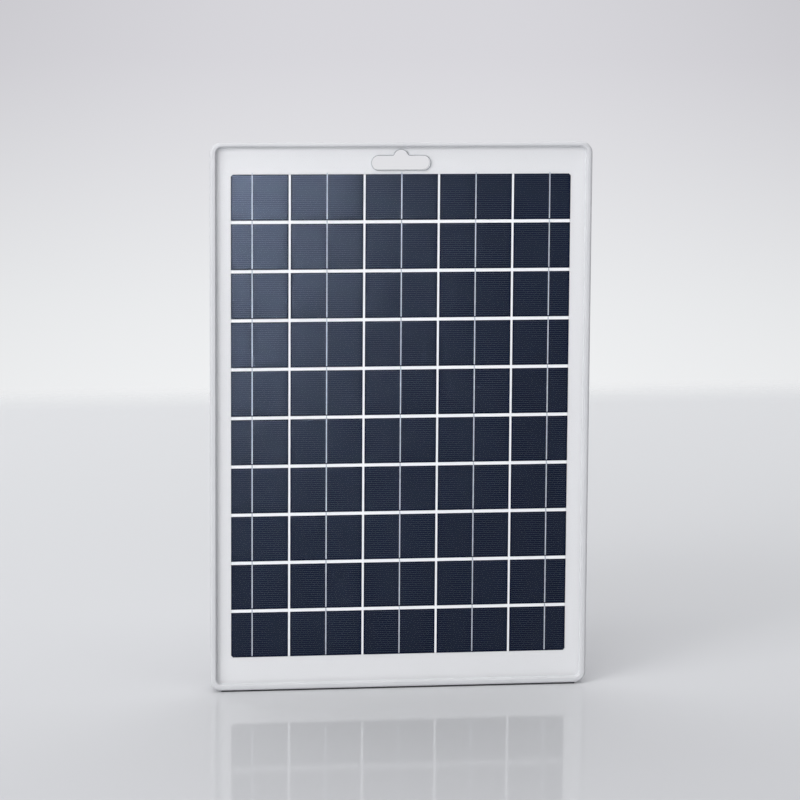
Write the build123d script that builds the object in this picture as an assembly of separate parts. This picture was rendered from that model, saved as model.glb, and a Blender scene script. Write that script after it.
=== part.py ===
from build123d import *
import os
from math import radians, tan

# A small framed solar panel, in millimetres. X runs across it, Y from its front to its back, and Z up.
# The origin lies under the middle of its bottom edge, on the surface that it stands on.

# Frame: a moulded tray with a raised rim, whose sides and top lean in towards the back
panel_width = 208.0
panel_height = 300.0
corner_radius = 6.0
side_taper = 9.0  # degrees
straight_band = 2.0  # behind the rim's front, where the sides and the top don't lean yet
skirt_wall = 2.4
plate_thickness = 2.2
rim_width = 3.1
rim_top_width = 2.2
rim_proud = 2.4
rim_outer_round = 1.4
rim_inner_round = 0.7
recess_corner = 3.6
back_edge_round = 0.5

# Low stiffening ribs on the back of the plate
rib_thickness = 1.6
rib_height = 3.2
rib_gap = 8.0  # between the junction box's lugs and the ribs beside them
rib_bays = 4  # between the lower and the upper inserts

# Bosses with threaded inserts for a bracket
insert_margin_x = 24.0
insert_margin_z = 40.0
insert_boss_radius = 4.8
insert_radius = 2.8
insert_length = 8.0
insert_bore = 1.65

# Rubber strip under the bottom edge, and the notch that lets a cable out at the back
strip_height = 0.8
strip_gap = 0.6
notch_room = 0.7  # round the cable
notch_drop = 0.5

# Hang slot through the top margin
slot_width = 32.0
slot_height = 7.75
slot_offset = -0.5
bump_radius = 4.05
bump_rise = 3.2  # above the slot's upper edge
bump_flare = 1.2
bump_edge = 1.95  # from the bump up to the rim

# Laminate, from the front to the back
edge_gap = 0.5
sheet_thickness = 0.5
front_eva = 0.3
cell_thickness = 0.2
rear_eva = 0.8
backsheet_thickness = 0.5
tape_thickness = 0.8
tape_inset = 1.0
tape_width = 9.0
slot_band = 14.0
slot_edge_round = 0.4
sealant_leg = 0.8
sealant_blunt = 0.08

# Cells: strips of a wafer in five strings. The outer strings are trimmed on their outer side.
columns = 5
rows = 10
column_gap = 1.2
row_gap = 1.8
outer_trim = 8.2
corner_cut = 1.0
side_margin = 11.5
bottom_margin = 17.9
slot_margin = 2.2  # from the cells up to the hang slot

# Ribbons, buses and insulating strips
ribbon_width = 0.6
ribbon_thickness = 0.15
ribbon_start = 0.6
ribbon_end_gap = 2.6
tab_overhang = 0.8
bus_height = 5.0
bus_thickness = 0.2
bus_inset = 2.0
bus_end_inset = 4.5
insulator_thickness = 0.2
insulator_border = 1.5
lead_width = 4.0

# Junction box
box_width = 60.0
box_drop = 66.0  # from the panel's top to the box
lower_bay = 16.0  # inside the box, below the terminals
upper_bay = 8.0  # inside the box, above the terminals
box_wall = 1.6
box_corner = 3.0
pad_thickness = 0.6
pad_border = 2.0
gasket_thickness = 0.7
lid_gap = 0.1
lid_thickness = 2.0
lid_sink = 0.1  # of the lid below the skirt's rear edge
lid_edge_round = 0.5
lid_rib_depth = 0.8
lid_rib_thickness = 1.2
lid_rib_gap = 0.4
slit_inset = 4.0  # from the box's top
slit_height = 2.0
slit_side = 1.5

# Hinge of the lid
knuckle_radius = 2.2
hinge_offset = 2.6
pin_radius = 1.0
pin_clearance = 0.05
lid_knuckle_half = 10.0
base_knuckle_length = 8.0
knuckle_gap = 0.2

# Snap tongues of the lid
tongue_x = 18.0
tongue_width = 8.0
tongue_gap = 1.1
tongue_thickness = 1.4
tongue_length = 4.8
hook_depth = 0.55
hook_height = 1.0
ridge_depth = 0.5
ridge_width = 6.0
ridge_gap = 0.2

# Fixing lugs and screws of the box
lug_reach = 4.0
lug_spacing_z = 24.0
lug_radius = 4.0
lug_thickness = 2.0
lug_boss_height = 5.0
lug_boss_radius = 3.6
box_screw = [1.45, 6.4, 2.8, 1.8]  # shank radius, shank length, head radius, head height

# Terminals and diode
terminal_spacing = 18.0
terminal_width = 8.0
terminal_length = 20.0
terminal_thickness = 1.0
pedestal_height = 2.8
pedestal_border = 0.5
terminal_screw = [1.2, 3.4, 2.5, 1.6]
terminal_screw_offset = 1.5
lead_landing = 4.0
diode_offset = 6.5  # below the plates' middle
diode_radius = 2.4
diode_length = 9.0
wire_radius = 0.5
wire_overlap = 5.5

# Cable inlet
cable_bore = 2.3
grommet_wall = 0.7
grommet_step = 0.5
grommet_lip = 1.4
grommet_flange = 1.6
grommet_room = 0.1
clamp_rise = 8.0  # above the box's bottom
clamp_width = 5.0
clamp_web = 0.5
clamp_side = 4.0  # from the cable to each clamp screw
clamp_end = 2.7
clamp_boss_radius = 2.4
clamp_screw = [1.1, 5.2, 2.0, 1.2]

# Blank rating label
label_width = 70.0
label_height = 38.0
label_thickness = 0.12
label_corner = 2.0

# Cable path: it sets how high the junction box stands, and that sets how deep the tray is
grommet_neck = cable_bore + grommet_wall
grommet_inner = grommet_neck + grommet_step
grommet_outer = grommet_neck + grommet_lip
grommet_rise = box_wall + grommet_room + grommet_inner
box_rise = grommet_rise + grommet_inner + grommet_room
laminate = sheet_thickness + front_eva + cell_thickness + rear_eva + backsheet_thickness
tray_depth = pad_thickness + box_rise + gasket_thickness + lid_gap + lid_thickness + lid_sink
panel_depth = rim_proud + laminate + tape_thickness + plate_thickness + tray_depth

# Depths, from the front to the back
front_y = -panel_depth / 2
back_y = panel_depth / 2
lean_y = front_y + straight_band
face_y = front_y + rim_proud
sheet_back_y = face_y + sheet_thickness
cell_front_y = sheet_back_y + front_eva
cell_back_y = cell_front_y + cell_thickness
insulator_y = cell_back_y + ribbon_thickness
lead_y = insulator_y + insulator_thickness
tab_y = lead_y + bus_thickness
backsheet_y = cell_back_y + rear_eva
tape_y = backsheet_y + backsheet_thickness
plate_y = tape_y + tape_thickness
plate_back_y = plate_y + plate_thickness
box_y = plate_back_y + pad_thickness
box_floor_y = box_y + box_wall
box_rim_y = box_y + box_rise
gasket_back_y = box_rim_y + gasket_thickness
lid_y = gasket_back_y + lid_gap
lid_back_y = lid_y + lid_thickness
lug_y = plate_back_y + lug_boss_height
plate_top_y = box_floor_y + pedestal_height + terminal_thickness

grommet_y = box_y + grommet_rise
notch_y = grommet_y + notch_drop
notch_width = 2 * (cable_bore + notch_room)
clamp_thickness = cable_bore + clamp_web
clamp_screw_x = cable_bore + clamp_side
clamp_length = 2 * (clamp_screw_x + clamp_end)

# Heights and half widths
recess_half = panel_width / 2 - rim_width
recess_bottom = strip_height + rim_width
recess_top = panel_height - rim_top_width
slot_top_z = recess_top - bump_edge - bump_rise
slot_bottom_z = slot_top_z - slot_height
slot_centre_z = slot_top_z - slot_height / 2
bump_centre_z = slot_top_z + bump_rise - bump_radius
field_half = panel_width / 2 - side_margin
field_bottom = strip_height + bottom_margin
field_top = slot_bottom_z - slot_margin
cell_width = (2 * (field_half + outer_trim) + column_gap) / columns - column_gap
cell_height = (field_top - field_bottom + row_gap) / rows - row_gap
column_pitch = cell_width + column_gap
row_pitch = cell_height + row_gap
outer_cell_width = cell_width - outer_trim
ribbon_reach = cell_height - ribbon_end_gap
bus_end = field_half - bus_end_inset
box_top = panel_height - box_drop
box_bottom = box_top - upper_bay - terminal_length - lower_bay
hinge_y = lid_back_y - knuckle_radius
hinge_z = box_top + hinge_offset
slit_z = box_top - slit_inset
terminal_z = box_top - upper_bay - terminal_length / 2
terminal_x = [-terminal_spacing, 0.0, terminal_spacing]  # minus, link, plus
lead_x = terminal_x[:2]  # minus, plus
diode_z = terminal_z - diode_offset
clamp_z = box_bottom + clamp_rise
lug_x = box_width / 2 + lug_reach
lug_z = (box_bottom + box_top) / 2
insert_x = panel_width / 2 - insert_margin_x
insert_low = insert_margin_z
insert_high = panel_height - insert_margin_z
rib_columns = [lug_x + lug_radius + rib_gap, insert_x]
rib_step = (insert_high - insert_low) / rib_bays
rib_rows = [insert_low + step * rib_step for step in range(rib_bays + 1)]
label_z = (rib_rows[1] + rib_rows[2]) / 2


def block(x0, x1, y0, y1, z0, z1):
    """A box between two corners."""
    middle = Pos((x0 + x1) / 2, (y0 + y1) / 2, (z0 + z1) / 2)
    return middle * Box(x1 - x0, y1 - y0, z1 - z0)


def across(x0, x1, y, z, radius):
    """A cylinder along X."""
    return Pos((x0 + x1) / 2, y, z) * Rot(0, 90, 0) * Cylinder(radius, x1 - x0)


def through(x, z, radius, y0, y1):
    """A cylinder along Y."""
    return Pos(x, (y0 + y1) / 2, z) * Rot(90, 0, 0) * Cylinder(radius, y1 - y0)


def upright(x, y, radius, z0, z1):
    """A cylinder along Z."""
    return Pos(x, y, (z0 + z1) / 2) * Cylinder(radius, z1 - z0)


def prism(outline, y0, y1):
    """An outline drawn in X and Z, made solid from depth y0 to y1."""
    facing = Plane(origin=(0, y1, 0), x_dir=(1, 0, 0), z_dir=(0, -1, 0))
    return extrude(facing * outline, amount=y1 - y0)


def rounded(half_width, bottom, top, radius):
    """A rounded rectangle, centred across the panel."""
    return Pos(0, (bottom + top) / 2) * RectangleRounded(2 * half_width, top - bottom, radius)


def side_lean(y):
    """How far the sides and the top have come in at depth y."""
    return max(y - lean_y, 0) * tan(radians(side_taper))


def tapered_block(inset, y0, y1, corner):
    """The frame's outer shape drawn in by inset, between two depths. Its bottom doesn't lean."""
    depths = [y for y in (y0, lean_y, y1) if y0 <= y <= y1]
    half = panel_width / 2 - inset
    low = strip_height + inset
    high = panel_height - inset
    right = [(half - side_lean(y), y) for y in depths]
    left = [(side_lean(y) - half, y) for y in reversed(depths)]
    top = [(0, y, high - side_lean(y)) for y in depths]
    plan = make_face(Polyline(*right, *left, close=True))
    side = make_face(Polyline(*top, (0, y1, low), (0, y0, low), close=True))
    body = extrude(plan, amount=panel_height, dir=(0, 0, 1))
    body &= extrude(side, amount=panel_width, both=True, dir=(1, 0, 0))
    corners = body.edges().filter_by(lambda e: abs(e.tangent_at(0.5).Y) > 0.9)
    return fillet(corners, corner)


def slot_outline():
    """The hang slot: a round-ended slot with a bump in the middle of its upper edge."""
    body = Pos(slot_offset, slot_centre_z) * SlotOverall(slot_width, slot_height)
    shape = body + Pos(slot_offset, bump_centre_z) * Circle(bump_radius)
    inner = shape.vertices().filter_by(
        lambda v: abs(v.X - slot_offset) < bump_radius and v.Y > slot_centre_z
    )
    return fillet(inner, bump_flare)


def laminate_layer(y0, y1):
    """One layer of the laminate, with the hang slot through it."""
    outline = rounded(
        recess_half - edge_gap,
        recess_bottom + edge_gap,
        recess_top - edge_gap,
        recess_corner - edge_gap,
    )
    return prism(outline, y0, y1) - prism(slot_outline(), y0, y1)


def lead_slit(y0, y1):
    """The slit that both leads pass through on their way to the junction box."""
    left = lead_x[0] - lead_width / 2 - slit_side
    right = lead_x[1] + lead_width / 2 + slit_side
    return block(left, right, y0, y1, slit_z - slit_height / 2, slit_z + slit_height / 2)


def insert_places():
    """The middle of each insert boss."""
    return [(x, z) for x in (-insert_x, insert_x) for z in (insert_low, insert_high)]


def lug_places():
    """The middle of each fixing lug of the junction box."""
    half = lug_spacing_z / 2
    return [(x, lug_z + z) for x in (-lug_x, lug_x) for z in (-half, half)]


def frame_ribs():
    """Low ribs over the back of the plate, which end at the skirt. One row leaves out the junction box."""
    y0 = plate_back_y
    y1 = plate_back_y + rib_height
    half = rib_thickness / 2
    wide = panel_width / 2
    ribs = Part()
    for x in rib_columns:
        for side in (-x, x):
            ribs += block(side - half, side + half, y0, y1, strip_height, panel_height)
    for z in rib_rows:
        row = block(-wide, wide, y0, y1, z - half, z + half)
        if z == rib_rows[-2]:
            row -= block(-rib_columns[0], rib_columns[0], y0, y1, z - half, z + half)
        ribs += row
    return ribs & tapered_block(skirt_wall, y0, y1, corner_radius - skirt_wall)


def frame():
    """The moulded tray: rim, plate, skirt, ribs and bosses, with the hang slot and the cable notch."""
    body = tapered_block(0, front_y, back_y, corner_radius)
    body = fillet(body.edges().group_by(Axis.Y)[0], rim_outer_round)
    body = fillet(body.edges().group_by(Axis.Y)[-1], back_edge_round)
    body -= prism(rounded(recess_half, recess_bottom, recess_top, recess_corner), front_y, plate_y)
    lip = body.edges().filter_by_position(Axis.Y, front_y - 0.01, front_y + 0.01)
    lip = lip.filter_by_position(Axis.X, -recess_half - 0.01, recess_half + 0.01)
    lip = lip.filter_by_position(Axis.Z, recess_bottom - 0.01, recess_top + 0.01)
    body = fillet(lip, rim_inner_round)
    body -= tapered_block(skirt_wall, plate_back_y, back_y, corner_radius - skirt_wall)
    body += frame_ribs()
    for x, z in insert_places():
        body += through(x, z, insert_boss_radius, plate_back_y, back_y)
        body -= through(x, z, insert_radius, back_y - insert_length, back_y)
        body -= through(x, z, insert_bore, plate_back_y, back_y)
    for x, z in lug_places():
        body += through(x, z, lug_boss_radius, plate_back_y, lug_y)
        body -= through(x, z, box_screw[0], plate_back_y, lug_y)
    body -= prism(slot_outline(), plate_y, plate_back_y)
    body -= lead_slit(plate_y, plate_back_y)
    notch_top = strip_height + skirt_wall
    body -= block(-notch_width / 2, notch_width / 2, notch_y, back_y, strip_height, notch_top)
    body -= upright(0, notch_y, notch_width / 2, strip_height, notch_top)
    return body


def edge_sealant():
    """A white bead that fills the gap round the laminate and covers its edge with a hollow fillet."""
    recess = rounded(recess_half, recess_bottom, recess_top, recess_corner)
    gap = prism(recess, face_y, plate_y)
    gap -= prism(
        rounded(
            recess_half - edge_gap,
            recess_bottom + edge_gap,
            recess_top - edge_gap,
            recess_corner - edge_gap,
        ),
        face_y,
        plate_y,
    )
    bead = prism(recess, face_y - sealant_leg, face_y)
    bead -= prism(
        rounded(
            recess_half - sealant_leg,
            recess_bottom + sealant_leg,
            recess_top - sealant_leg,
            recess_corner - sealant_leg,
        ),
        face_y - sealant_leg,
        face_y,
    )
    hollow = prism(
        rounded(
            recess_half - sealant_blunt,
            recess_bottom + sealant_blunt,
            recess_top - sealant_blunt,
            recess_corner - sealant_blunt,
        ),
        face_y - 2 * sealant_leg,
        face_y - sealant_blunt,
    )
    hollow = fillet(hollow.edges().group_by(Axis.Y)[-1], sealant_leg)
    return gap + (bead - hollow) - prism(slot_outline(), face_y - sealant_leg, plate_y)


def front_sheet():
    """The clear textured sheet over the face. Its slot has a softly rounded edge."""
    sheet = laminate_layer(face_y, sheet_back_y)
    rim = sheet.edges().filter_by_position(Axis.Y, face_y - 0.01, face_y + 0.01)
    rim = rim.filter_by_position(Axis.X, slot_offset - slot_width, slot_offset + slot_width)
    rim = rim.filter_by_position(Axis.Z, slot_bottom_z - 0.1, recess_top - edge_gap - 0.1)
    return fillet(rim, slot_edge_round)


def cell_edges(column):
    """The left and right edges of a column's cells."""
    centre = (column - (columns - 1) / 2) * column_pitch
    left = centre - cell_width / 2
    right = centre + cell_width / 2
    if column == 0:
        left = right - outer_cell_width
    if column == columns - 1:
        right = left + outer_cell_width
    return left, right


def row_bottom(row):
    """The lower edge of a row's cells, counted from the bottom."""
    return field_bottom + row * row_pitch


def cell(column, row):
    """One cell. Those at the corners of the field have their outer corner cut."""
    left, right = cell_edges(column)
    low = row_bottom(row)
    high = low + cell_height
    body = block(left, right, cell_front_y, cell_back_y, low, high)
    if column in (0, columns - 1) and row in (0, rows - 1):
        x = left if column == 0 else right
        z = low if row == 0 else high
        corner = [
            e
            for e in body.edges().filter_by(Axis.Y)
            if abs(e.center().X - x) < 0.01 and abs(e.center().Z - z) < 0.01
        ]
        body = chamfer(corner, corner_cut)
    return body


def cell_string(column):
    """The ten cells of one string."""
    return [cell(column, row) for row in range(rows)]


def ribbon_leg(column, y0, z0, z1):
    """A flat stretch of a string's ribbon."""
    x = (column - (columns - 1) / 2) * column_pitch
    half = ribbon_width / 2
    return block(x - half, x + half, y0, y0 + ribbon_thickness, z0, z1)


def ribbon_jog(column, y1, z):
    """The short stretch where a ribbon passes from the front of the cells to depth y1."""
    x = (column - (columns - 1) / 2) * column_pitch
    half = ribbon_width / 2
    thick = ribbon_thickness / 2
    return block(x - half, x + half, cell_front_y - ribbon_thickness, y1, z - thick, z + thick)


def string_ribbons(column):
    """The ribbons of one string: front of each cell to the back of the next, and the two end tabs."""
    front = cell_front_y - ribbon_thickness
    ribbons = []
    for row in range(rows - 1):
        turn = row_bottom(row) + cell_height + (row_pitch - cell_height) / 2
        link = ribbon_leg(column, front, row_bottom(row) + ribbon_start, turn)
        link += ribbon_jog(column, insulator_y, turn)
        link += ribbon_leg(column, cell_back_y, turn, row_bottom(row + 1) + ribbon_reach)
        ribbons.append(link)
    turn = field_top + tab_overhang
    last = ribbon_leg(column, front, row_bottom(rows - 1) + ribbon_start, turn)
    last += ribbon_jog(column, tab_y + ribbon_thickness, turn)
    last += ribbon_leg(column, tab_y, field_top - bus_inset - bus_height, turn)
    ribbons.append(last)
    first = ribbon_leg(column, cell_back_y, field_bottom + bus_inset, field_bottom + ribbon_reach)
    ribbons.append(first)
    return ribbons


def minus_bus():
    """The bus ribbon behind the top row, which the folded front ribbons meet."""
    top = field_top - bus_inset
    return block(-bus_end, bus_end, lead_y, tab_y, top - bus_height, top)


def plus_bus():
    """The bus ribbon behind the bottom row, soldered to the back ribbons."""
    low = field_bottom + bus_inset
    return block(-bus_end, bus_end, insulator_y, insulator_y + bus_thickness, low, low + bus_height)


def bus_insulator():
    """The strip that keeps the minus bus off the backs of the top cells."""
    top = field_top - bus_inset
    half = bus_end + insulator_border
    low = top - bus_height - insulator_border
    return block(-half, half, insulator_y, lead_y, low, top + insulator_border)


def lead_insulator():
    """The long strip that keeps both leads off the backs of the middle cells."""
    low = field_bottom + bus_inset + bus_height + insulator_border
    high = field_top - bus_inset - bus_height - insulator_border
    left = lead_x[0] - lead_width / 2 - insulator_border
    right = lead_x[1] + lead_width / 2 + insulator_border
    return block(left, right, insulator_y, lead_y, low, high)


def lead(x, z_from):
    """A flat lead from a bus to the slit, out through it and over onto a terminal plate."""
    left = x - lead_width / 2
    right = x + lead_width / 2
    half = bus_thickness / 2
    ends = sorted((z_from, slit_z))
    body = block(left, right, lead_y, tab_y, ends[0], ends[1])
    body += block(left, right, lead_y, plate_top_y + bus_thickness, slit_z - half, slit_z + half)
    landing = terminal_z + terminal_length / 2 - lead_landing
    body += block(left, right, plate_top_y, plate_top_y + bus_thickness, landing, slit_z)
    return body


def minus_lead():
    return lead(lead_x[0], field_top - bus_inset - bus_height)


def plus_lead():
    return lead(lead_x[1], field_bottom + bus_inset)


def front_encapsulant(strings, ribbons):
    """Clear filler in front of the cells and between them."""
    body = laminate_layer(sheet_back_y, cell_back_y)
    return body - strings - ribbons


def rear_encapsulant(buried):
    """Clear filler behind the cells, round the ribbons, buses, strips and leads."""
    return laminate_layer(cell_back_y, backsheet_y) - buried


def backsheet():
    """The white sheet that is seen round and between the cells."""
    return laminate_layer(backsheet_y, tape_y) - lead_slit(backsheet_y, tape_y)


def bond_tape():
    """Foam tape between the laminate and the plate: a ring, a band round the slot and two bars."""
    outer = edge_gap + tape_inset
    inner = outer + tape_width
    tape = prism(
        rounded(recess_half - outer, recess_bottom + outer, recess_top - outer, recess_corner),
        tape_y,
        plate_y,
    )
    tape -= prism(
        rounded(recess_half - inner, recess_bottom + inner, recess_top - inner, recess_corner),
        tape_y,
        plate_y,
    )
    low = slot_bottom_z - tape_width / 2
    band = slot_width / 2 + slot_band
    tape += block(-band, band, tape_y, plate_y, low, recess_top - outer)
    for z in rib_rows[1:3]:
        half = tape_width / 2
        tape += block(-recess_half + inner, recess_half - inner, tape_y, plate_y, z - half, z + half)
    return tape - prism(slot_outline(), tape_y, plate_y)


def foot_strip():
    """The black rubber strip that the panel stands on. It ends where the corners begin to turn."""
    y0 = front_y + rim_outer_round
    y1 = notch_y - notch_width / 2 - strip_gap
    wide0 = panel_width / 2 - side_lean(y0) - corner_radius
    wide1 = panel_width / 2 - side_lean(y1) - corner_radius
    plan = Polyline((-wide0, y0), (wide0, y0), (wide1, y1), (-wide1, y1), close=True)
    return extrude(make_face(plan), amount=strip_height, dir=(0, 0, 1))


def bracket_inserts():
    """Brass threaded inserts in the four rear bosses."""
    inserts = []
    for x, z in insert_places():
        body = through(x, z, insert_radius, back_y - insert_length, back_y)
        body -= through(x, z, insert_bore, back_y - insert_length, back_y)
        inserts.append(body)
    return Compound(inserts)


def pan_screw(x, z, y, size):
    """A cross-head screw along Y, whose head sits on depth y and whose shank points to the front."""
    shank_radius, shank_length, head_radius, head_height = size
    screw = through(x, z, head_radius, y, y + head_height)
    screw = fillet(screw.edges().group_by(Axis.Y)[-1], head_height * 0.4)
    screw += through(x, z, shank_radius, y - shank_length, y)
    arm = head_radius * 0.6
    blade = head_radius * 0.12
    y0 = y + head_height * 0.4
    y1 = y + head_height
    screw -= block(x - arm, x + arm, y0, y1, z - blade, z + blade)
    return screw - block(x - blade, x + blade, y0, y1, z - arm, z + arm)


def box_outline(inset):
    """The junction box's outline, drawn in by inset."""
    half = box_width / 2 - inset
    return rounded(half, box_bottom + inset, box_top - inset, max(box_corner - inset, 0.6))


def junction_pad():
    """The foam pad that seals the junction box to the plate."""
    pad = prism(box_outline(pad_border), plate_back_y, box_y)
    return pad - lead_slit(plate_back_y, box_y)


def junction_base():
    """The junction box's base, with its lugs, pedestals, clamp bosses, hinge knuckles and catch ridges."""
    body = prism(box_outline(0), box_y, box_rim_y)
    body -= prism(box_outline(box_wall), box_floor_y, box_rim_y)
    body += box_lugs()
    for x in terminal_x:
        body += terminal_block(x, box_floor_y, box_floor_y + pedestal_height, pedestal_border)
        body -= through(x, terminal_screw_z(), terminal_screw[0], box_floor_y, plate_top_y)
    for x in (-clamp_screw_x, clamp_screw_x):
        body += through(x, clamp_z, clamp_boss_radius, box_floor_y, grommet_y)
        body -= through(x, clamp_z, clamp_screw[0], box_floor_y, grommet_y)
    for side in (-1, 1):
        body += base_knuckle(side)
        half = ridge_width / 2
        hook_top = lid_back_y - lid_thickness - tongue_length + hook_height
        y0 = hook_top + ridge_gap
        x = side * tongue_x
        body += block(x - half, x + half, y0, y0 + hook_height, box_bottom - ridge_depth, box_bottom)
    body -= upright(0, grommet_y, grommet_neck, box_bottom, box_bottom + box_wall)
    return body - lead_slit(box_y, box_floor_y)


def box_lugs():
    """Four lugs, held by the base's side walls, that stand on the frame's bosses."""
    lugs = Part()
    for x, z in lug_places():
        wall = box_width / 2 - box_wall / 2
        ends = sorted((x, wall if x > 0 else -wall))
        lug = through(x, z, lug_radius, lug_y, lug_y + lug_thickness)
        lug += block(ends[0], ends[1], lug_y, lug_y + lug_thickness, z - lug_radius, z + lug_radius)
        lugs += lug - through(x, z, box_screw[0], lug_y, lug_y + lug_thickness)
    return lugs


def base_knuckle(side):
    """One of the base's two hinge knuckles, with the web that joins it to the wall."""
    near = lid_knuckle_half + knuckle_gap
    ends = sorted((side * near, side * (near + base_knuckle_length)))
    body = across(ends[0], ends[1], hinge_y, hinge_z, knuckle_radius)
    web_y = hinge_y - knuckle_radius
    body += block(ends[0], ends[1], web_y, box_rim_y, box_top - box_wall / 2, hinge_z)
    return body - across(ends[0], ends[1], hinge_y, hinge_z, pin_radius)


def terminal_screw_z():
    """The height of the terminal screws."""
    return terminal_z + terminal_screw_offset


def terminal_block(x, y0, y1, border):
    """A terminal plate's outline drawn in by border, between two depths."""
    half = terminal_width / 2 - border
    long = terminal_length / 2 - border
    return block(x - half, x + half, y0, y1, terminal_z - long, terminal_z + long)


def terminal_plate(x):
    """A tinned brass plate on its pedestal, with a hole for its screw."""
    plate = terminal_block(x, plate_top_y - terminal_thickness, plate_top_y, 0)
    return plate - through(x, terminal_screw_z(), terminal_screw[0], box_floor_y, plate_top_y)


def terminal_screws():
    return Compound([pan_screw(x, terminal_screw_z(), plate_top_y, terminal_screw) for x in terminal_x])


def diode_ends():
    """Where the diode's body begins and ends, midway between the link and the plus plate."""
    middle = (terminal_x[1] + terminal_x[2]) / 2
    return middle - diode_length / 2, middle + diode_length / 2


def diode_body():
    """The blocking diode's round body."""
    left, right = diode_ends()
    body = across(left, right, plate_top_y + wire_radius, diode_z, diode_radius)
    return chamfer(body.edges().filter_by(GeomType.CIRCLE), diode_radius * 0.12)


def diode_wires():
    """The diode's two wires, each soldered onto a plate."""
    left, right = diode_ends()
    y = plate_top_y + wire_radius
    inner = across(left - wire_overlap, left, y, diode_z, wire_radius)
    outer = across(right, right + wire_overlap, y, diode_z, wire_radius)
    return Compound([inner, outer])


def cable_grommet():
    """The rubber grommet that a cable passes through, in the base's bottom wall."""
    wall_top = box_bottom + box_wall
    body = upright(0, grommet_y, grommet_neck, box_bottom, wall_top)
    body += upright(0, grommet_y, grommet_outer, box_bottom - grommet_flange, box_bottom)
    body += upright(0, grommet_y, grommet_inner, wall_top, wall_top + grommet_flange)
    bore = upright(0, grommet_y, cable_bore, box_bottom - grommet_flange, wall_top + grommet_flange)
    return body - bore


def cord_clamp():
    """The bar that holds a cable down, with a round hollow over the cable's path."""
    half = clamp_width / 2
    y1 = grommet_y + clamp_thickness
    low = clamp_z - half
    high = clamp_z + half
    bar = block(-clamp_length / 2, clamp_length / 2, grommet_y, y1, low, high)
    bar = fillet(bar.edges().filter_by(Axis.Y), 1.0)
    bar -= upright(0, grommet_y, cable_bore, low, high)
    for x in (-clamp_screw_x, clamp_screw_x):
        bar -= through(x, clamp_z, clamp_screw[0], grommet_y, y1)
    return bar


def clamp_screws():
    y = grommet_y + clamp_thickness
    return Compound([pan_screw(x, clamp_z, y, clamp_screw) for x in (-clamp_screw_x, clamp_screw_x)])


def junction_screws():
    y = lug_y + lug_thickness
    return Compound([pan_screw(x, z, y, box_screw) for x, z in lug_places()])


def lid_gasket():
    """The soft ring on the base's rim."""
    return prism(box_outline(0) - box_outline(box_wall), box_rim_y, gasket_back_y)


def junction_lid():
    """The lid, with its inner rib, its hinge knuckle and its two snap tongues."""
    body = prism(box_outline(0), lid_y, lid_back_y)
    body = fillet(body.edges().group_by(Axis.Y)[-1], lid_edge_round)
    outer = box_wall + lid_rib_gap
    rib = box_outline(outer) - box_outline(outer + lid_rib_thickness)
    body += prism(rib, lid_y - lid_rib_depth, lid_y)
    half = lid_knuckle_half
    body += across(-half, half, hinge_y, hinge_z, knuckle_radius)
    body += block(-half, half, lid_y, lid_back_y, box_top - box_wall, hinge_z)
    body -= across(-half, half, hinge_y, hinge_z, pin_radius + pin_clearance)
    for x in (-tongue_x, tongue_x):
        body += snap_tongue(x)
    return body


def snap_tongue(x):
    """A tongue that reaches down outside the base's bottom wall and hooks under its ridge."""
    left = x - tongue_width / 2
    right = x + tongue_width / 2
    inner = box_bottom - tongue_gap
    outer = inner - tongue_thickness
    tip = lid_y - tongue_length
    tongue = block(left, right, lid_y, lid_back_y, outer, box_bottom + box_wall)
    tongue += block(left, right, tip, lid_back_y, outer, inner)
    tongue = fillet(tongue.edges().filter_by(Axis.X).group_by(Axis.Z)[0].group_by(Axis.Y)[-1], 1.0)
    return tongue + block(left, right, tip, tip + hook_height, inner, inner + hook_depth)


def hinge_pin():
    """The steel pin through all three knuckles."""
    half = lid_knuckle_half + knuckle_gap + base_knuckle_length
    return across(-half, half, hinge_y, hinge_z, pin_radius)


def rating_label():
    """A blank label on the back of the plate."""
    low = label_z - label_height / 2
    outline = rounded(label_width / 2, low, low + label_height, label_corner)
    return prism(outline, plate_back_y, plate_back_y + label_thickness)


def save(name, shape):
    export_step(shape, f"parts/{name}.step")


def save_laminate():
    """Writes the strings, ribbons and layers of the laminate."""
    strings = [cell_string(column) for column in range(columns)]
    ribbons = [string_ribbons(column) for column in range(columns)]
    for column in range(columns):
        save(f"cell_string_{column + 1}", Compound(strings[column]))
        save(f"string_ribbons_{column + 1}", Compound(ribbons[column]))
    every_cell = [one for string in strings for one in string]
    every_ribbon = [one for string in ribbons for one in string]
    strips = {
        "minus_bus": minus_bus(),
        "plus_bus": plus_bus(),
        "bus_insulator": bus_insulator(),
        "lead_insulator": lead_insulator(),
        "minus_lead": minus_lead(),
        "plus_lead": plus_lead(),
    }
    for name, strip in strips.items():
        save(name, strip)
    save("front_sheet", front_sheet())
    save("front_encapsulant", front_encapsulant(every_cell, every_ribbon))
    save("rear_encapsulant", rear_encapsulant(every_ribbon + list(strips.values())))
    save("backsheet", backsheet())
    save("bond_tape", bond_tape())


def save_frame():
    """Writes the frame and what is fixed to it."""
    save("frame", frame())
    save("edge_sealant", edge_sealant())
    save("foot_strip", foot_strip())
    save("bracket_inserts", bracket_inserts())
    save("rating_label", rating_label())


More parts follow.
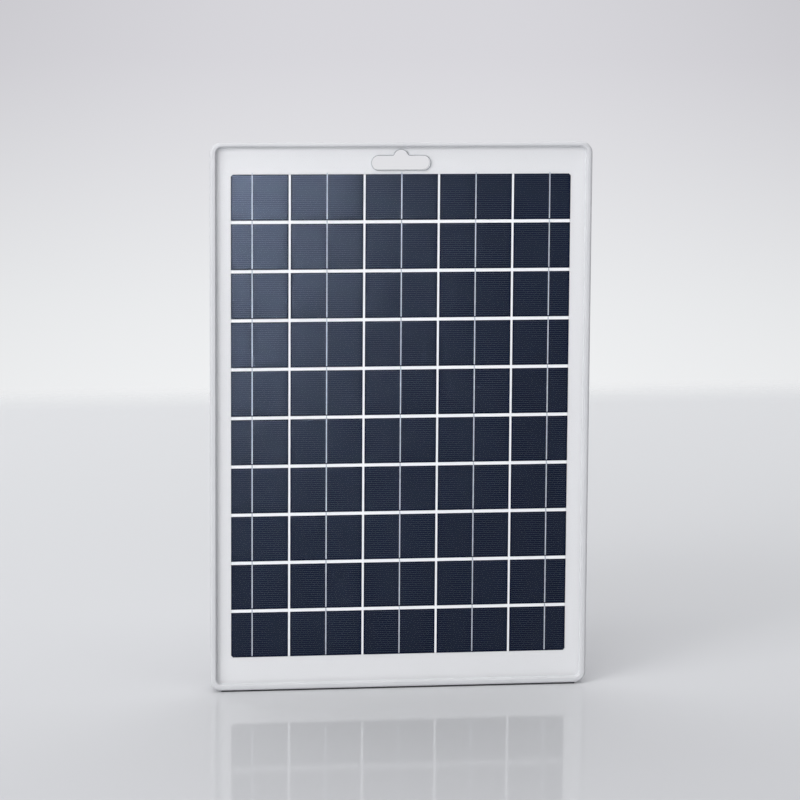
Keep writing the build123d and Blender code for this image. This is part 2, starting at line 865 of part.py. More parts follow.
def save_junction_box():
    """Writes the junction box and what it holds."""
    save("junction_base", junction_base())
    save("junction_pad", junction_pad())
    save("junction_screws", junction_screws())
    save("minus_terminal", terminal_plate(terminal_x[0]))
    save("link_terminal", terminal_plate(terminal_x[1]))
    save("plus_terminal", terminal_plate(terminal_x[2]))
    save("terminal_screws", terminal_screws())
    save("diode_body", diode_body())
    save("diode_wires", diode_wires())
    save("cable_grommet", cable_grommet())
    save("cord_clamp", cord_clamp())
    save("clamp_screws", clamp_screws())
    save("lid_gasket", lid_gasket())
    save("junction_lid", junction_lid())
    save("hinge_pin", hinge_pin())


os.makedirs("parts", exist_ok=True)
save_laminate()
save_frame()
save_junction_box()
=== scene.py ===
import bmesh
import bpy
import numpy as np
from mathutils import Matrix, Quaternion, Vector


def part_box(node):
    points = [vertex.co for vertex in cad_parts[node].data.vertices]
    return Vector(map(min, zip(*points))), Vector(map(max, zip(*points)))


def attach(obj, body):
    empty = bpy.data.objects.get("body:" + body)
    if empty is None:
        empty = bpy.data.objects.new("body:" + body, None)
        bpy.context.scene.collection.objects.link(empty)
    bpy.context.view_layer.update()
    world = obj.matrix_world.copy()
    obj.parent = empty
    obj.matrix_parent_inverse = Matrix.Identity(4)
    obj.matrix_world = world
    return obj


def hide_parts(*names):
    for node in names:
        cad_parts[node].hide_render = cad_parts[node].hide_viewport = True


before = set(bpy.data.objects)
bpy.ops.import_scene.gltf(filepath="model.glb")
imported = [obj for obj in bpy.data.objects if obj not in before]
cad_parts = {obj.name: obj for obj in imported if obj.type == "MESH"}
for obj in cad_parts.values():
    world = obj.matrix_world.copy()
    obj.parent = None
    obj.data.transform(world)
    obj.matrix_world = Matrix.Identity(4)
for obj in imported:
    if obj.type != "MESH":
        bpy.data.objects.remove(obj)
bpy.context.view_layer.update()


# Camera. A long lens stands 1.8 m in front of the panel, a little to its left and above it,
# and looks slightly down at its middle.
camera = bpy.data.objects.new("camera", bpy.data.cameras.new("camera"))
bpy.context.scene.collection.objects.link(camera)
camera.data.lens = 152.47
camera.data.sensor_width = 36.0
camera.location = (-0.2494, -1.8156, 0.4190)
camera.rotation_mode = "QUATERNION"
looking = Vector((0.135087, 0.980804, -0.140622))
camera.rotation_quaternion = looking.to_track_quat("-Z", "Y") @ Quaternion((0, 0, 1), 0.0063)
bpy.context.scene.camera = camera
bpy.context.scene.view_settings.view_transform = "Standard"


# Studio. A pale satin table top, painted darker towards the front and lighter towards the back (painted
# shade and painted light), whose far edge fades into a plain backdrop that is darker higher up.
# Two soft windows stand at the front left, two panels hang overhead, and a small lamp low in front puts
# the sheen on the cells.
def node(tree, kind, inputs=None, **settings):
    """Adds a shader node. Each input is a number, a colour or another node's output."""
    made = tree.nodes.new("ShaderNode" + kind)
    for name, value in settings.items():
        setattr(made, name, value)
    for name, value in (inputs or {}).items():
        if isinstance(value, bpy.types.NodeSocket):
            tree.links.new(value, made.inputs[name])
        else:
            made.inputs[name].default_value = value
    return made


def maths(tree, operation, *values, clamp=False):
    """The result of one math node on numbers or outputs."""
    return node(tree, "Math", dict(enumerate(values)), operation=operation, use_clamp=clamp).outputs[0]


def ramp(tree, value, low, high, to_low=0.0, to_high=1.0):
    """A smooth step: to_low where value is under low, to_high where it is over high."""
    inputs = {0: value, 1: low, 2: high, 3: to_low, 4: to_high}
    return node(tree, "MapRange", inputs, interpolation_type="SMOOTHSTEP").outputs[0]


def blend_colours(tree, share, first, second):
    """A colour between two, by a share from 0 to 1."""
    mixed = node(tree, "Mix", {0: share}, data_type="RGBA")
    for slot, colour in ((6, first), (7, second)):
        if isinstance(colour, bpy.types.NodeSocket):
            tree.links.new(colour, mixed.inputs[slot])
        else:
            mixed.inputs[slot].default_value = (*colour, 1)
    return mixed.outputs[2]


def start_material(name, **values):
    """A material with one Principled shader. Its plain inputs are given with underscores for spaces."""
    material = bpy.data.materials.new(name)
    material.use_nodes = True
    tree = material.node_tree
    shader = tree.nodes["Principled BSDF"]
    for key, value in values.items():
        shader.inputs[key.replace("_", " ")].default_value = value
    place = node(tree, "TexCoord").outputs["Object"]
    return material, tree, shader, place


def grid_mesh(name, points, wrap=(False, False)):
    """A mesh from an array of rows x columns x 3 points. Neighbours in both directions share a face;
    a wrapped direction also joins its last points to its first. Repeated points are merged."""
    rows, columns = points.shape[:2]
    i = np.arange(rows if wrap[0] else rows - 1)[:, None]
    j = np.arange(columns if wrap[1] else columns - 1)[None, :]
    i2, j2 = (i + 1) % rows, (j + 1) % columns
    corners = [i * columns + j, i * columns + j2, i2 * columns + j2, i2 * columns + j]
    faces = np.stack([np.broadcast_to(c, (i.size, j.size)).ravel() for c in corners], axis=1)
    mesh = bpy.data.meshes.new(name)
    mesh.from_pydata(points.reshape(-1, 3).tolist(), [], faces.tolist())
    merged = bmesh.new()
    merged.from_mesh(mesh)
    bmesh.ops.remove_doubles(merged, verts=merged.verts, dist=1e-7)
    merged.to_mesh(mesh)
    merged.free()
    mesh.shade_smooth()
    return mesh


def show(name, mesh, material):
    """Puts a mesh into the scene with its material."""
    piece = bpy.data.objects.new(name, mesh)
    mesh.materials.append(material)
    bpy.context.scene.collection.objects.link(piece)
    return piece


table_reach = 6.0
table_far = 1.22
table_fade = 0.16
table_x = np.linspace(-table_reach, table_reach, 25)
table_y = np.linspace(-table_reach, table_far, 16)
table_x, table_y = np.meshgrid(table_x, table_y, indexing="ij")
table_mesh = grid_mesh("table_top", np.stack([table_x, table_y, 0 * table_x], axis=-1))
table_finish, tree, shader, place = start_material("table_top", Roughness=0.07, IOR=1.15)
depth = node(tree, "SeparateXYZ", {0: place}).outputs["Y"]
mottle = node(tree, "TexNoise", {"Vector": place, "Scale": 3.0, "Detail": 2.0}).outputs[0]
tree.links.new(ramp(tree, mottle, 0.2, 0.8, 0.06, 0.08), shader.inputs["Roughness"])
# The table's colour goes from darker at the front to lighter at its far side. This is painted shade and
# painted light that stand in for how the lamps fall on it.
far_painted_light_share = node(tree, "MapRange", {0: depth, 1: -0.3, 2: table_far}).outputs[0]
painted_light_table_tone = blend_colours(tree, far_painted_light_share, (0.60, 0.605, 0.62), (0.97, 0.985, 0.99))
tree.links.new(painted_light_table_tone, shader.inputs["Base Color"])
faded = node(tree, "MixShader", {
    0: ramp(tree, depth, table_far - table_fade, table_far),
    1: shader.outputs[0],
    2: node(tree, "BsdfTransparent").outputs[0],
})
tree.links.new(faded.outputs[0], tree.nodes["Material Output"].inputs["Surface"])
table_top = show("table_top", table_mesh, table_finish)

# The backdrop's shades go by how steeply a line of sight rises. What is behind the camera is dim, and
# the sides, as the camera sees them, fall off a little.
backdrop_low, backdrop_high = -0.2, 0.2
backdrop_middle = 0.135
backdrop = bpy.data.worlds.new("backdrop")
bpy.context.scene.world = backdrop
backdrop.use_nodes = True
tree = backdrop.node_tree
direction = node(tree, "SeparateXYZ", {0: node(tree, "TexCoord").outputs["Generated"]}).outputs
height = direction["Z"]
shades = node(tree, "ValToRGB")
backdrop_shades = [
    (-0.140, (0.880, 0.890, 0.900)),
    (-0.112, (0.835, 0.845, 0.860)),
    (-0.040, (0.686, 0.679, 0.716)),
    (0.100, (0.600, 0.600, 0.630)),
]
rise = node(tree, "MapRange", {0: height, 1: backdrop_low, 2: backdrop_high}).outputs[0]
tree.links.new(rise, shades.inputs[0])
while len(shades.color_ramp.elements) < len(backdrop_shades):
    shades.color_ramp.elements.new(0.5)
for element, (at, shade) in zip(shades.color_ramp.elements, backdrop_shades):
    element.position = (at - backdrop_low) / (backdrop_high - backdrop_low)
    element.color = (*shade, 1)
tree.links.new(shades.outputs[0], tree.nodes["Background"].inputs["Color"])
seen = node(tree, "LightPath").outputs["Is Camera Ray"]
unseen = maths(tree, "SUBTRACT", 1.0, seen)
behind = maths(tree, "MULTIPLY", ramp(tree, direction["Y"], -0.4, 0.6, 0.12, 1.0), unseen)
sideways = maths(tree, "DIVIDE", direction["X"], maths(tree, "ABSOLUTE", direction["Y"]))
off_middle = maths(tree, "ABSOLUTE", maths(tree, "SUBTRACT", sideways, backdrop_middle))
corner_shade = ramp(tree, height, -0.13, 0.06, 0.93, 0.77)
edge_shade = maths(tree, "MULTIPLY", seen, ramp(tree, off_middle, 0.02, 0.18, 1.0, corner_shade))
tree.links.new(maths(tree, "MAXIMUM", behind, edge_shade), tree.nodes["Background"].inputs["Strength"])


def soft_light(name, at, toward, width, height, radiance, colour):
    """A rectangular light that faces a point. Its power is its radiance x its area x pi."""
    lamp = bpy.data.lights.new(name, "AREA")
    lamp.shape = "RECTANGLE"
    lamp.size = width
    lamp.size_y = height
    lamp.energy = radiance * width * height * np.pi
    lamp.color = colour
    light = bpy.data.objects.new(name, lamp)
    light.location = at
    light.rotation_mode = "QUATERNION"
    light.rotation_quaternion = (Vector(toward) - Vector(at)).to_track_quat("-Z", "Y")
    bpy.context.scene.collection.objects.link(light)


soft_light("left_window", (-2.25, -1.75, 1.3), (0, 0, 0.15), 1.6, 1.6, 4.9, (0.99, 0.99, 1.0))
soft_light("front_window", (-1.35, -2.7, 1.5), (0, 0, 0.2), 2.2, 2.0, 3.2, (0.98, 0.99, 1.0))
soft_light("low_lamp", (0.087, -2.9, 0.136), (0, 0, 0.2), 0.3, 0.26, 28.0, (0.91, 0.94, 1.0))
soft_light("overhead_front", (0.0, -0.6, 2.2), (0, -0.5, 0), 1.6, 1.2, 2.7, (1.0, 1.0, 1.0))
soft_light("overhead_back", (0.0, 1.5, 1.8), (0, 0.9, 0), 2.4, 1.2, 1.4, (0.99, 1.0, 1.0))


# Frame: one injection moulding in white ABS, with a raised rounded rim. The mould's surface leaves a
# very fine even grain, and the plastic has faint clouds where it flowed.
def shared_group(name, inputs, outputs):
    """An empty node group. Inputs are (name, kind, value), and outputs are names of plain values."""
    group = bpy.data.node_groups.new(name, "ShaderNodeTree")
    for label, kind, value in inputs:
        socket = group.interface.new_socket(label, in_out="INPUT", socket_type="NodeSocket" + kind)
        if value is not None:
            socket.default_value = value
    for label in outputs:
        group.interface.new_socket(label, in_out="OUTPUT", socket_type="NodeSocketFloat")
    return group, group.nodes.new("NodeGroupInput"), group.nodes.new("NodeGroupOutput")


# Grain is fine noise, and Clouds are the same noise 60 times coarser, stretched to 0..1.
moulded, given, result = shared_group(
    "moulded_skin", [("Vector", "Vector", None), ("Grain", "Float", 3000.0)], ["Height", "Clouds"]
)
fine = node(moulded, "TexNoise", {
    "Vector": given.outputs["Vector"], "Scale": given.outputs["Grain"], "Detail": 3.0, "Roughness": 0.6,
})
coarse_scale = maths(moulded, "DIVIDE", given.outputs["Grain"], 60.0)
coarse = node(moulded, "TexNoise", {
    "Vector": given.outputs["Vector"], "Scale": coarse_scale, "Detail": 3.0, "Roughness": 0.55,
})
moulded.links.new(fine.outputs[0], result.inputs["Height"])
moulded.links.new(ramp(moulded, coarse.outputs[0], 0.32, 0.68), result.inputs["Clouds"])


# Rubs is a mask of short faint wipe marks and specks of dust, 0 where the surface is clean.
rubbed, given, result = shared_group(
    "rubs_and_dust", [("Vector", "Vector", None), ("Amount", "Float", 0.5)], ["Rubs"]
)
stretched = node(rubbed, "Mapping", {"Vector": given.outputs["Vector"], "Scale": (40, 40, 420)})
wipes = node(rubbed, "TexNoise", {
    "Vector": stretched.outputs[0], "Scale": 1.0, "Detail": 4.0, "Distortion": 0.6,
})
specks = node(rubbed, "TexVoronoi", {"Vector": given.outputs["Vector"], "Scale": 260.0})
dust = ramp(rubbed, specks.outputs["Distance"], 0.02, 0.07, 1.0, 0.0)
wiped = ramp(rubbed, wipes.outputs[0], 0.56, 0.78)
both = maths(rubbed, "MAXIMUM", maths(rubbed, "MULTIPLY", dust, 0.6), wiped)
rubbed.links.new(maths(rubbed, "MULTIPLY", both, given.outputs["Amount"]), result.inputs["Rubs"])


def place_group(tree, group, inputs):
    """Puts a shared group into a material with its own values."""
    made = tree.nodes.new("ShaderNodeGroup")
    made.node_tree = group
    for name, value in inputs.items():
        if isinstance(value, bpy.types.NodeSocket):
            tree.links.new(value, made.inputs[name])
        else:
            made.inputs[name].default_value = value
    return made.outputs


def roughen(tree, shader, height, depth, strength=1.0):
    """Feeds a height, whose full range is depth metres, into the shader's normal."""
    bump = node(tree, "Bump", {"Height": height, "Distance": depth, "Strength": strength})
    tree.links.new(bump.outputs[0], shader.inputs["Normal"])


def dress(material, *names):
    """Gives CAD nodes this material."""
    for name in names:
        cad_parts[name].material_slots[0].material = material


def moulded_plastic(name, light, dark, roughness, grain, depth, rub, **values):
    """Moulded plastic: two close shades in clouds, fine grain as bump, and rubs that dull its gloss."""
    material, tree, shader, place = start_material(name, **values)
    skin = place_group(tree, moulded, {"Vector": place, "Grain": grain})
    rubs = place_group(tree, rubbed, {"Vector": place, "Amount": rub})["Rubs"]
    tree.links.new(blend_colours(tree, skin["Clouds"], light, dark), shader.inputs["Base Color"])
    gloss = ramp(tree, skin["Clouds"], 0.0, 1.0, *roughness)
    dulled = maths(tree, "ADD", gloss, maths(tree, "MULTIPLY", rubs, 0.08))
    tree.links.new(dulled, shader.inputs["Roughness"])
    roughen(tree, shader, skin["Height"], depth)
    return material


frame_abs = moulded_plastic(
    "white_abs", (0.635, 0.638, 0.652), (0.615, 0.619, 0.635),
    roughness=(0.36, 0.42), grain=3200.0, depth=0.000012, rub=0.5, IOR=1.52,
)
dress(frame_abs, "frame")


# Edge sealant: neutral white silicone, run round the recess by machine and left to skin over.
# It has a soft gloss and a slow waviness along its length.
sealant, tree, shader, place = start_material("white_silicone", Roughness=0.34, IOR=1.42)
waves = node(tree, "TexNoise", {"Vector": place, "Scale": 130.0, "Detail": 2.0}).outputs[0]
streaks = ramp(tree, waves, 0.35, 0.65)
skinned = blend_colours(tree, streaks, (0.66, 0.665, 0.68), (0.63, 0.635, 0.65))
tree.links.new(skinned, shader.inputs["Base Color"])
roughen(tree, shader, waves, 0.00012)
dress(sealant, "edge_sealant")


# Front sheet: clear plastic with a satin outer surface. Only its reflection shows, stronger at a glance
# and softened by a slight orange-peel. Its back lies on the filler and doesn't shine. Its cut edge,
# round the hang slot, is painted dark grey: painted shade for the dark outline round the slot.
clear_sheet, tree, shader, place = start_material(
    "clear_sheet", Base_Color=(1, 1, 1, 1), Metallic=1.0, Roughness=0.19
)
peel = node(tree, "TexNoise", {"Vector": place, "Scale": 350.0, "Detail": 1.0}).outputs[0]
rubs = place_group(tree, rubbed, {"Vector": place, "Amount": 0.6})["Rubs"]
tree.links.new(ramp(tree, rubs, 0.0, 1.0, 0.19, 0.23), shader.inputs["Roughness"])
roughen(tree, shader, peel, 0.000006)
glance = node(tree, "Fresnel", {"IOR": 1.11}).outputs[0]
geometry = node(tree, "NewGeometry").outputs
outside = maths(tree, "SUBTRACT", 1.0, geometry["Backfacing"])
layered = node(tree, "MixShader", {
    0: maths(tree, "MULTIPLY", glance, outside),
    1: node(tree, "BsdfTransparent").outputs[0],
    2: shader.outputs[0],
})
# The dark grey on the cut edge is painted shade, not a colour of the sheet.
painted_shade_edge = node(tree, "BsdfPrincipled", {"Base Color": (0.20, 0.205, 0.215, 1), "Roughness": 0.6})
turned = node(tree, "SeparateXYZ", {0: geometry["Normal"]}).outputs["Y"]
shade_edged_sheet = node(tree, "MixShader", {
    0: ramp(tree, maths(tree, "ABSOLUTE", turned), 0.80, 0.97, 0.85, 0.0),
    1: layered.outputs[0],
    2: painted_shade_edge.outputs[0],
})
tree.links.new(shade_edged_sheet.outputs[0], tree.nodes["Material Output"].inputs["Surface"])
dress(clear_sheet, "front_sheet")


# Front filler: clear EVA melted between the sheet and the cells. Nothing of it shows but its cut edge,
# a milky band inside the hang slot, which this ring stands for. The slot's sizes are the panel's own.
sheet_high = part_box("front_sheet")[1]
back_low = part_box("rear_encapsulant")[0]
slot_half = 0.016
slot_end = 0.003875
bump_radius = 0.00405
slot_offset = -0.0005
slot_drop = 0.008525
bump_above = 0.003025
ring_inset = 0.00004
ring_width = 0.0006
turn = np.linspace(0, 2 * np.pi, 240, endpoint=False)


def slot_reach(angle, grow):
    """How far the hang slot's edge is from its middle, in each direction: the further of the
    round-ended slot and the bump's circle, each larger by grow."""
    end, straight = slot_end + grow, slot_half - slot_end
    across, up = np.abs(np.cos(angle)), np.sin(angle)
    flat = end / np.maximum(np.abs(up), 1e-9)
    past = np.maximum(end**2 - (straight * up) ** 2, 0)
    stadium = np.where(flat * across <= straight, flat, straight * across + np.sqrt(past))
    radius = bump_radius + grow
    circle = bump_above * up + np.sqrt(radius**2 - (bump_above * across) ** 2)
    return np.maximum(stadium, circle)


def slot_band(low, high, inner, outer):
    """A flat-sided band round the slot: four corner lines carried round the slot's edge."""
    loops = []
    for grow, y in ((inner, low), (inner, high), (outer, high), (outer, low)):
        reach = slot_reach(turn, grow)
        x = slot_offset + reach * np.cos(turn)
        z = sheet_high.z - slot_drop + reach * np.sin(turn)
        loops.append(np.stack([x, np.full_like(x, y), z], axis=-1))
    return np.stack(loops, axis=1)


filler_finish, tree, shader, place = start_material("filler_edge", Roughness=0.30, IOR=1.49)
milk = node(tree, "TexNoise", {"Vector": place, "Scale": 1500.0, "Detail": 2.0}).outputs[0]
milky = blend_colours(tree, milk, (0.70, 0.715, 0.735), (0.62, 0.64, 0.665))
tree.links.new(milky, shader.inputs["Base Color"])
roughen(tree, shader, milk, 0.00003)
filler_band = slot_band(sheet_high.y, back_low.y, ring_inset, ring_width)
filler_edge = show("filler_edge", grid_mesh("filler_edge", filler_band, (True, True)), filler_finish)
filler_edge.data.shade_flat()
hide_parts("front_encapsulant")
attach(filler_edge, "panel")


# Cells: strips of dark blue silicon with a glassy anti-glare coat. Thin silver fingers are printed
# across them and stop short of their edges. Each cell is a slightly different blue.
first_low, first_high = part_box("cell_string_1")
middle_low, middle_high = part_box("cell_string_3")
cell_columns = 5
cell_rows = 10
row_gap = 0.0018
column_pitch = middle_low.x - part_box("cell_string_2")[0].x
row_pitch = (first_high.z - first_low.z + row_gap) / cell_rows
finger_pitch = 0.00112
finger_half = 0.0002
finger_metal = 0.55
bare_edge = 0.0008

silicon, tree, shader, place = start_material(
    "blue_silicon", Roughness=0.19, IOR=1.17, Specular_Tint=(0.70, 0.82, 1.0, 1)
)
axes = node(tree, "SeparateXYZ", {0: place}).outputs
from_bottom = maths(tree, "SUBTRACT", axes["Z"], first_low.z)
up_cell = maths(tree, "WRAP", from_bottom, row_pitch, 0.0)
from_left = maths(tree, "ADD", axes["X"], cell_columns / 2 * column_pitch)
across_cell = maths(tree, "WRAP", from_left, column_pitch, 0.0)
side_of_cell = maths(tree, "SUBTRACT", across_cell, column_pitch / 2)
half_cell = (middle_high.x - middle_low.x) / 2
cell_height = row_pitch - row_gap
fingers_up = maths(tree, "DIVIDE", maths(tree, "SUBTRACT", up_cell, bare_edge), finger_pitch)
past_finger = maths(tree, "SUBTRACT", maths(tree, "FRACT", fingers_up), 0.5)
from_finger = maths(tree, "MULTIPLY", maths(tree, "ABSOLUTE", past_finger), finger_pitch)
on_finger = ramp(tree, from_finger, finger_half * 0.8, finger_half * 1.2, 1.0, 0.0)
inside = [
    maths(tree, "LESS_THAN", maths(tree, "ABSOLUTE", side_of_cell), half_cell - bare_edge),
    maths(tree, "LESS_THAN", maths(tree, "ABSOLUTE", axes["X"]), -first_low.x - bare_edge),
    maths(tree, "GREATER_THAN", up_cell, bare_edge),
    maths(tree, "LESS_THAN", up_cell, cell_height - bare_edge),
]
printed = on_finger
for test in inside:
    printed = maths(tree, "MULTIPLY", printed, test)
cell_number = node(tree, "CombineXYZ", {
    "X": maths(tree, "FLOOR", maths(tree, "DIVIDE", from_left, column_pitch)),
    "Z": maths(tree, "FLOOR", maths(tree, "DIVIDE", from_bottom, row_pitch)),
}).outputs[0]
tone = node(tree, "TexWhiteNoise", {"Vector": cell_number}).outputs["Value"]
coat = node(tree, "TexNoise", {"Vector": place, "Scale": 60.0, "Detail": 3.0}).outputs[0]
shade = maths(tree, "ADD", maths(tree, "MULTIPLY", tone, 0.7), maths(tree, "MULTIPLY", coat, 0.3))
blue = blend_colours(tree, shade, (0.0012, 0.0035, 0.0160), (0.0024, 0.0062, 0.0215))
tree.links.new(blend_colours(tree, printed, blue, (0.046, 0.057, 0.082)), shader.inputs["Base Color"])
tree.links.new(maths(tree, "MULTIPLY", printed, finger_metal), shader.inputs["Metallic"])
tree.links.new(ramp(tree, coat, 0.3, 0.7, 0.18, 0.20), shader.inputs["Roughness"])
roughen(tree, shader, coat, 0.00002)
dress(silicon, *[f"cell_string_{number}" for number in range(1, cell_columns + 1)])


# Ribbons, buses and leads: flat copper, dipped in tin. The tin is dull silver, lumpy where it pooled,
# and fine lines from drawing run along it.
drawn, given, result = shared_group(
    "drawn_metal",
    [("Vector", "Vector", None), ("Stretch", "Vector", (1.0, 1.0, 1.0))],
    ["Lines", "Pools"],
)
pulled = node(drawn, "Mapping", {"Vector": given.outputs["Vector"], "Scale": given.outputs["Stretch"]})
lines = node(drawn, "TexNoise", {
    "Vector": pulled.outputs[0], "Scale": 1.0, "Detail": 4.0, "Roughness": 0.7,
})
pools = node(drawn, "TexNoise", {"Vector": given.outputs["Vector"], "Scale": 420.0, "Detail": 2.0})
drawn.links.new(lines.outputs[0], result.inputs["Lines"])
drawn.links.new(ramp(drawn, pools.outputs[0], 0.35, 0.65), result.inputs["Pools"])


def metal(name, light, dark, roughness, stretch, depth, **values):
    """A metal with drawn lines along one direction and slow changes of tone and gloss."""
    material, tree, shader, place = start_material(name, Metallic=1.0, **values)
    look = place_group(tree, drawn, {"Vector": place, "Stretch": stretch})
    tree.links.new(blend_colours(tree, look["Pools"], light, dark), shader.inputs["Base Color"])
    tree.links.new(ramp(tree, look["Lines"], 0.3, 0.7, *roughness), shader.inputs["Roughness"])
    roughen(tree, shader, look["Lines"], depth)
    return material


tinned = metal(
    "tinned_copper", (0.60, 0.63, 0.69), (0.52, 0.55, 0.61),
    roughness=(0.42, 0.56), stretch=(4000, 4000, 300), depth=0.00001,
)
dress(tinned, *[f"string_ribbons_{number}" for number in range(1, cell_columns + 1)])
dress(tinned, "minus_bus", "plus_bus", "minus_lead", "plus_lead", "diode_wires")


# Rear filler: white EVA melted behind the cells. It is what shows between them and round them,
# faintly pebbled by the vacuum press, and painted brighter between the cells than round them: painted
# light.
edge_overlap = 0.0004
white_filler, tree, shader, place = start_material("white_filler", Roughness=0.5, IOR=1.49)
pebbles = node(tree, "TexVoronoi", {"Vector": place, "Scale": 700.0}, feature="SMOOTH_F1")
cloud = node(tree, "TexNoise", {"Vector": place, "Scale": 25.0, "Detail": 3.0}).outputs[0]
margin = blend_colours(tree, cloud, (0.775, 0.776, 0.787), (0.762, 0.764, 0.776))
axes = node(tree, "SeparateXYZ", {0: place}).outputs
between_x = maths(tree, "LESS_THAN", maths(tree, "ABSOLUTE", axes["X"]), -first_low.x - edge_overlap)
field_middle = (first_low.z + first_high.z) / 2
from_middle = maths(tree, "ABSOLUTE", maths(tree, "SUBTRACT", axes["Z"], field_middle))
between_z = maths(tree, "LESS_THAN", from_middle, first_high.z - field_middle - edge_overlap)
# Within the cell field the filler is painted near-white, far brighter than at the margin. This is
# painted light in the gaps between the cells.
painted_light_between_cells = maths(tree, "MULTIPLY", between_x, between_z)
tree.links.new(blend_colours(tree, painted_light_between_cells, margin, (0.97, 0.98, 1.0)), shader.inputs["Base Color"])
roughen(tree, shader, pebbles.outputs["Distance"], 0.00001)
dress(white_filler, "rear_encapsulant")


# Backsheet and insulating strips: thin white polyester film, calendered, so that it has a faint weave
# of lines and a slight satin shine.
film, tree, shader, place = start_material("white_film", Roughness=0.45, IOR=1.57)
waved = node(tree, "TexWave", {"Vector": place, "Scale": 500.0, "Distortion": 2.0, "Detail": 2.0})
rolled = waved.outputs["Fac"]
calendered = blend_colours(tree, rolled, (0.84, 0.85, 0.87), (0.82, 0.83, 0.855))
tree.links.new(calendered, shader.inputs["Base Color"])
roughen(tree, shader, rolled, 0.000006)
dress(film, "backsheet", "bus_insulator", "lead_insulator")


# Bond tape, junction pad: closed-cell foam with small round cells that show at its cut edges.
def foam(name, light, dark):
    """Foam: round cells as dimples, with painted shade inside them."""
    material, tree, shader, place = start_material(name, Roughness=0.85, IOR=1.4)
    bubbles = node(tree, "TexVoronoi", {"Vector": place, "Scale": 2600.0}).outputs["Distance"]
    # The darker tone inside each dimple is painted shade.
    tone = blend_colours(tree, ramp(tree, bubbles, 0.1, 0.5), dark, light)
    tree.links.new(tone, shader.inputs["Base Color"])
    roughen(tree, shader, bubbles, 0.00012)
    return material


dress(foam("white_foam", (0.76, 0.765, 0.77), (0.60, 0.605, 0.61)), "bond_tape")
dress(foam("black_foam", (0.040, 0.040, 0.042), (0.015, 0.015, 0.016)), "junction_pad")


# Foot strip, gasket and cable grommet: black rubber, matt, with a dusty bloom and a fine cut grain.
rubber = moulded_plastic(
    "black_rubber", (0.016, 0.016, 0.018), (0.026, 0.026, 0.028),
    roughness=(0.62, 0.74), grain=2400.0, depth=0.00005, rub=0.9, IOR=1.5,
)
dress(rubber, "foot_strip", "lid_gasket", "cable_grommet")


# Bracket inserts and terminal plates: machined brass with turning lines and a little tarnish.
brass = metal(
    "brass", (0.80, 0.60, 0.30), (0.66, 0.47, 0.22),
    roughness=(0.24, 0.40), stretch=(900, 5000, 900), depth=0.00001,
)
dress(brass, "bracket_inserts", "minus_terminal", "link_terminal", "plus_terminal")


# Rating label: a blank silver polyester label with a thin printed border and ruled lines, no lettering.
label_low, label_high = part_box("rating_label")
label_middle = (label_low + label_high) / 2
label_half = (label_high - label_low) / 2
border_inset = 0.0025
line_half = 0.00015
label_rows = 5
label_metal = 0.85

silver, tree, shader, place = start_material("silver_label", Metallic=label_metal, Roughness=0.42)
axes = node(tree, "SeparateXYZ", {0: place}).outputs
from_middle = [
    maths(tree, "ABSOLUTE", maths(tree, "SUBTRACT", axes[axis], label_middle[number]))
    for axis, number in (("X", 0), ("Z", 2))
]
to_border = [
    maths(tree, "SUBTRACT", from_middle[0], label_half.x - border_inset),
    maths(tree, "SUBTRACT", from_middle[1], label_half.z - border_inset),
]
outline = maths(tree, "ABSOLUTE", maths(tree, "MAXIMUM", *to_border))
row_height = 2 * (label_half.z - border_inset) / label_rows
up_label = maths(tree, "SUBTRACT", axes["Z"], label_low.z + border_inset)
ruled = maths(tree, "WRAP", up_label, row_height, 0.0)
in_border = maths(tree, "LESS_THAN", maths(tree, "MAXIMUM", *to_border), 0.0)
border_ink = maths(tree, "LESS_THAN", outline, line_half)
row_ink = maths(tree, "MULTIPLY", maths(tree, "LESS_THAN", ruled, line_half), in_border)
ink = maths(tree, "MAXIMUM", border_ink, row_ink)
brushed = node(tree, "Mapping", {"Vector": place, "Scale": (150, 150, 6000)}).outputs[0]
hairs = node(tree, "TexNoise", {"Vector": brushed, "Scale": 1.0, "Detail": 3.0}).outputs[0]
paper = blend_colours(tree, hairs, (0.50, 0.51, 0.53), (0.40, 0.41, 0.43))
tree.links.new(blend_colours(tree, ink, paper, (0.03, 0.03, 0.035)), shader.inputs["Base Color"])
tree.links.new(ramp(tree, hairs, 0.3, 0.7, 0.36, 0.48), shader.inputs["Roughness"])
bare = maths(tree, "SUBTRACT", 1.0, ink)
tree.links.new(maths(tree, "MULTIPLY", bare, label_metal), shader.inputs["Metallic"])
dress(silver, "rating_label")


# Junction box: black glass-filled polymer with a spark-eroded texture, moulded in a base, a hinged lid
# and a clamp bar.
box_black = moulded_plastic(
    "black_polymer", (0.020, 0.021, 0.023), (0.030, 0.031, 0.033),
    roughness=(0.46, 0.56), grain=1900.0, depth=0.00006, rub=0.8, IOR=1.55,
)
dress(box_black, "junction_base", "junction_lid", "cord_clamp")


# Screws and hinge pin: zinc-plated steel, with a faint blue cast and fine marks from the driver.
zinc = metal(
    "zinc_steel", (0.66, 0.68, 0.71), (0.54, 0.56, 0.60),
    roughness=(0.26, 0.42), stretch=(1500, 1500, 1500), depth=0.00001,
)
dress(zinc, "junction_screws", "clamp_screws", "terminal_screws", "hinge_pin")


# Diode: black epoxy body with one painted silver band at the end that faces the plus plate.
band_inset = 0.0019
band_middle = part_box("diode_body")[1].x - band_inset
band_half = 0.0007

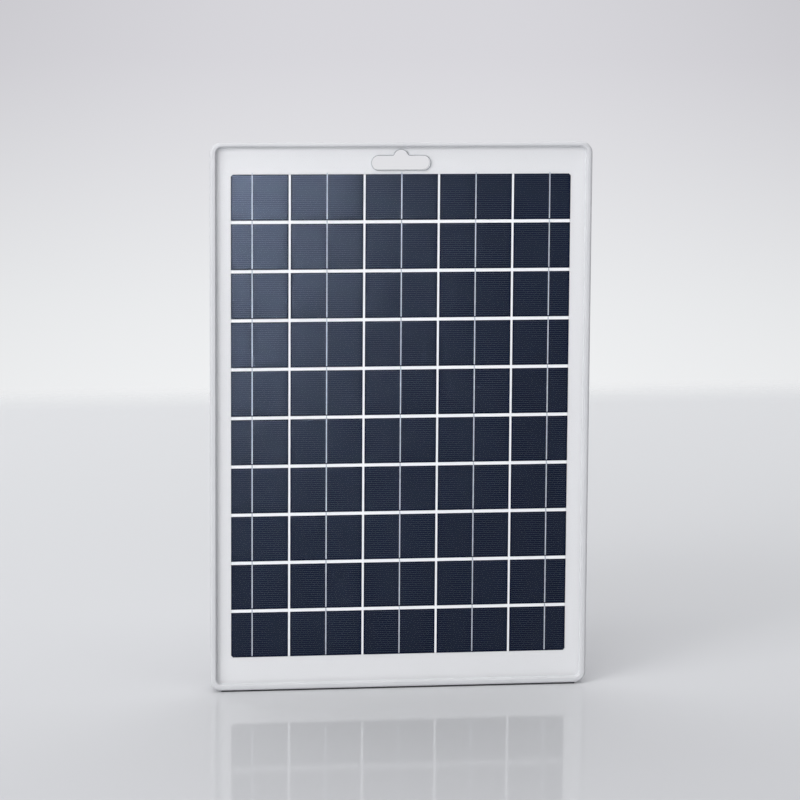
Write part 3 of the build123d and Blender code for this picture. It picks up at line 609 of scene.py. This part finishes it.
epoxy, tree, shader, place = start_material("black_epoxy", Roughness=0.35, IOR=1.55)
across = node(tree, "SeparateXYZ", {0: place}).outputs["X"]
from_band = maths(tree, "ABSOLUTE", maths(tree, "SUBTRACT", across, band_middle))
banded = maths(tree, "LESS_THAN", from_band, band_half)
pitted = place_group(tree, moulded, {"Vector": place, "Grain": 3500.0})
body = blend_colours(tree, pitted["Clouds"], (0.014, 0.014, 0.016), (0.022, 0.022, 0.024))
tree.links.new(blend_colours(tree, banded, body, (0.55, 0.56, 0.58)), shader.inputs["Base Color"])
roughen(tree, shader, pitted["Height"], 0.00003)
dress(epoxy, "diode_body")


# Ejector marks: shallow rings that the pins of the mould leave on the back of the plate, one in the
# middle of each bay between the ribs.
plate_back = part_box("junction_pad")[0].y
mark_radius = 0.0035
mark_bead = 0.00022
mark_columns = np.array([-0.063, 0.063])
mark_rows = np.array([0.0675, 0.1225, 0.1775, 0.2325])


def bead_rings(centres, radius, bead):
    """Rings lying in the plate's back: a circle of radius bead carried round a larger circle."""
    u = np.linspace(0, 2 * np.pi, 40, endpoint=False)[:, None]
    v = np.linspace(0, 2 * np.pi, 8, endpoint=False)[None, :]
    reach = radius + bead * np.cos(v)
    x, z = reach * np.cos(u), reach * np.sin(u)
    y = plate_back + bead * np.sin(v) + 0 * u
    return [np.stack([x + cx, y, z + cz], axis=-1) for cx, cz in centres]


def joined(name, sheets, wrap, material):
    """One object made of several grid surfaces."""
    whole = bmesh.new()
    for points in sheets:
        mesh = grid_mesh(name, points, wrap)
        whole.from_mesh(mesh)
        bpy.data.meshes.remove(mesh)
    mesh = bpy.data.meshes.new(name)
    whole.to_mesh(mesh)
    whole.free()
    mesh.shade_smooth()
    return show(name, mesh, material)


mark_centres = [(x, z) for x in mark_columns for z in mark_rows]
ejector_marks = joined(
    "ejector_marks", bead_rings(mark_centres, mark_radius, mark_bead), (True, True), frame_abs
)
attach(ejector_marks, "panel")


# Solder joints: small bright domes where the leads and the diode's wires meet the terminal plates.
minus_low, minus_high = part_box("minus_lead")
plus_low, plus_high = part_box("plus_lead")
wire_low, wire_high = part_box("diode_wires")
plate_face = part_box("minus_terminal")[1].y
plate_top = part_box("minus_terminal")[1].z


def dome(centre, size):
    """A closed cushion shape: a sphere stretched to size, with its poles pointing up and down."""
    u = np.linspace(0, 2 * np.pi, 24, endpoint=False)[None, :]
    v = np.linspace(-np.pi / 2, np.pi / 2, 13)[:, None]
    x, y, z = np.cos(v) * np.cos(u), np.sin(v) + 0 * u, np.cos(v) * np.sin(u)
    return np.stack([x, -y, z], axis=-1)[::-1] * np.array(size) + np.array(centre)


lead_drop = 0.0035
lead_joint = (0.0024, 0.0008, 0.0020)
wire_inset = 0.0014
wire_joint = (0.0018, 0.0012, 0.0015)
lead_z = plate_top - lead_drop
wire_z = (wire_low.z + wire_high.z) / 2
domes = [
    dome(((minus_low.x + minus_high.x) / 2, plate_face, lead_z), lead_joint),
    dome(((plus_low.x + plus_high.x) / 2, plate_face, lead_z), lead_joint),
    dome((wire_low.x + wire_inset, plate_face, wire_z), wire_joint),
    dome((wire_high.x - wire_inset, plate_face, wire_z), wire_joint),
]
solder = metal(
    "solder", (0.80, 0.81, 0.83), (0.70, 0.71, 0.74),
    roughness=(0.18, 0.34), stretch=(700, 700, 700), depth=0.00002,
)
solder_joints = joined("solder_joints", domes, (False, True), solder)
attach(solder_joints, "panel")
